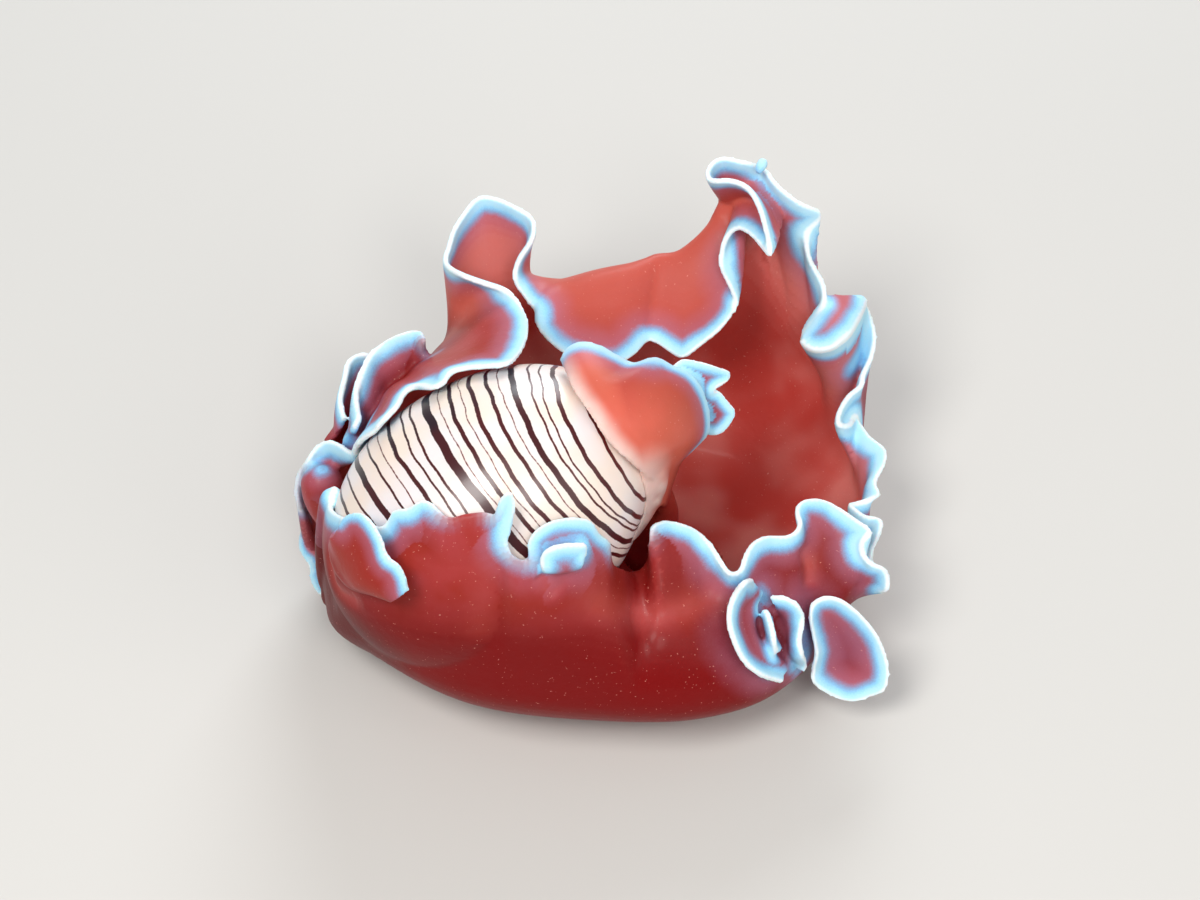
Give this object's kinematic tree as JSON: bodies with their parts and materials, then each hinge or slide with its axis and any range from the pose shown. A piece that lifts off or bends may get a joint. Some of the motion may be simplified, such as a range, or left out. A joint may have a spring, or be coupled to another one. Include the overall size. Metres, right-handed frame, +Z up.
{
  "type": "sea snail figure",
  "caption": "Life-size sea snail: a wide frilled foot turned up into a bowl round a striped, egg-shaped shell, with a mantle lobe over the spire",
  "frame": {"origin": "centre of the sole's flat underside, on the floor", "axes": "+Z up, +X from the head to the tail, +Y to the animal's right side, which is the far side in the picture; millimetres in the source"},
  "size_m": [0.0636, 0.0533, 0.0393],
  "materials": {
    "flesh": "soft wet flesh, brick red, with a sky-blue band and a white rim at every free edge",
    "sole": "soft wet flesh, paler than the foot's sides",
    "shell": "thin glossy shell, white with black and red-brown spiral lines",
    "eye": "glossy black"
  },
  "bodies": {
    "root": {"body": "flesh", "foot_front": "flesh", "front_leaf_inner": "flesh", "front_leaf_outer": "flesh", "head": "flesh", "head_shield_left": "flesh", "head_shield_right": "flesh", "left_front_flap": "flesh", "mantle_lobe": "flesh", "parapodium_left_front": "flesh", "parapodium_left_middle": "flesh", "parapodium_left_rear": "flesh", "parapodium_left_roll": "flesh", "parapodium_right_curl": "flesh", "parapodium_right_edge": "flesh", "parapodium_right_front": "flesh", "parapodium_right_middle": "flesh", "parapodium_right_rear": "flesh", "tail": "flesh", "tail_crescent": "flesh", "tail_cup": "flesh", "tail_fold": "flesh", "tail_left": "flesh", "foot_sole": "sole", "shell": "shell", "eye_left": "eye", "eye_right": "eye", "left_roll_flap": "flesh", "tail_fold_inner": "flesh", "mantle_ear": "flesh", "mantle_hem": "flesh", "mantle_trunk": "flesh", "tail_cup_stalk": "flesh"}
  },
  "joints": []
}
